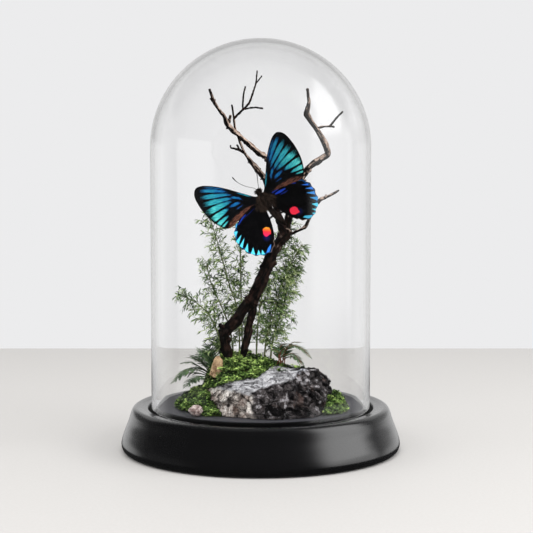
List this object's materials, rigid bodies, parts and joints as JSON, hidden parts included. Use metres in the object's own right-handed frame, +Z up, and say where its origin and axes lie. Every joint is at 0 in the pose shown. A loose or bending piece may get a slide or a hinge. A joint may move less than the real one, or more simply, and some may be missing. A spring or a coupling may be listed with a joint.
{
  "type": "insect in glass dome",
  "caption": "Set blue and black butterfly on a driftwood branch with a rock, moss and small plants, under a glass dome on a round black base.",
  "frame": {"origin": "centre of the base where it meets the table", "axes": "+Z up the dome, -Y towards the viewer who sees the wings from above, +X to that viewer's right"},
  "size_m": [0.1914, 0.1914, 0.2803],
  "materials": {
    "black_wood": "satin black lacquer",
    "clear_glass": "clear, polished",
    "grey_rock": "rough, pale on top and dark in front",
    "tan_stone": "rough",
    "pale_pebble": "smooth",
    "moss": "leafy",
    "dark_driftwood": "dry bark",
    "green_cane": "satin",
    "fern_stalk": "satin",
    "insect_body": "furry, matt",
    "forewing": "scaly, blue-green rays on black",
    "hindwing": "scaly, black with a blue edge and a red spot",
    "insect_limb": "matt"
  },
  "bodies": {
    "root": {"base": "black_wood", "glass_dome": "clear_glass", "rock": "grey_rock", "tan_stone": "tan_stone", "pebble": "pale_pebble", "moss_hill": "moss", "moss_left": "moss", "moss_right": "moss", "driftwood_trunk": "dark_driftwood", "driftwood_left_leg": "dark_driftwood", "driftwood_right_leg": "dark_driftwood", "driftwood_right_limb": "dark_driftwood", "driftwood_left_prong": "dark_driftwood", "driftwood_left_limb": "dark_driftwood", "driftwood_inner_limb": "dark_driftwood", "driftwood_low_twig": "dark_driftwood", "driftwood_crook_twig": "dark_driftwood", "driftwood_crook_twig_fork": "dark_driftwood", "driftwood_knot_stub": "dark_driftwood", "driftwood_tip_twig": "dark_driftwood", "driftwood_side_twig": "dark_driftwood", "driftwood_side_twig_fork": "dark_driftwood", "driftwood_top_twig": "dark_driftwood", "driftwood_top_twig_fork": "dark_driftwood", "driftwood_top_twig_left": "dark_driftwood", "driftwood_top_twig_right": "dark_driftwood", "bamboo_front_left": "green_cane", "bamboo_middle": "green_cane", "bamboo_right_inner": "green_cane", "bamboo_right_outer": "green_cane", "bamboo_right_short": "green_cane", "bamboo_low_left": "green_cane", "bamboo_back_left": "green_cane", "fern_left_low": "fern_stalk", "fern_left_middle": "fern_stalk", "fern_left_high": "fern_stalk", "fern_left_back": "fern_stalk", "fern_left_front": "fern_stalk", "fern_back_left": "fern_stalk", "fern_back_high": "fern_stalk", "fern_right_tall": "fern_stalk", "fern_right_low": "fern_stalk", "fern_right_inner": "fern_stalk", "fern_right_back": "fern_stalk", "butterfly_body": "insect_body", "butterfly_forewing_left": "forewing", "butterfly_forewing_right": "forewing", "butterfly_hindwing_left": "hindwing", "butterfly_hindwing_right": "hindwing", "butterfly_antenna_long": "insect_limb", "butterfly_antenna_short": "insect_limb", "butterfly_leg_left": "insect_limb", "butterfly_leg_right": "insect_limb"}
  },
  "joints": []
}
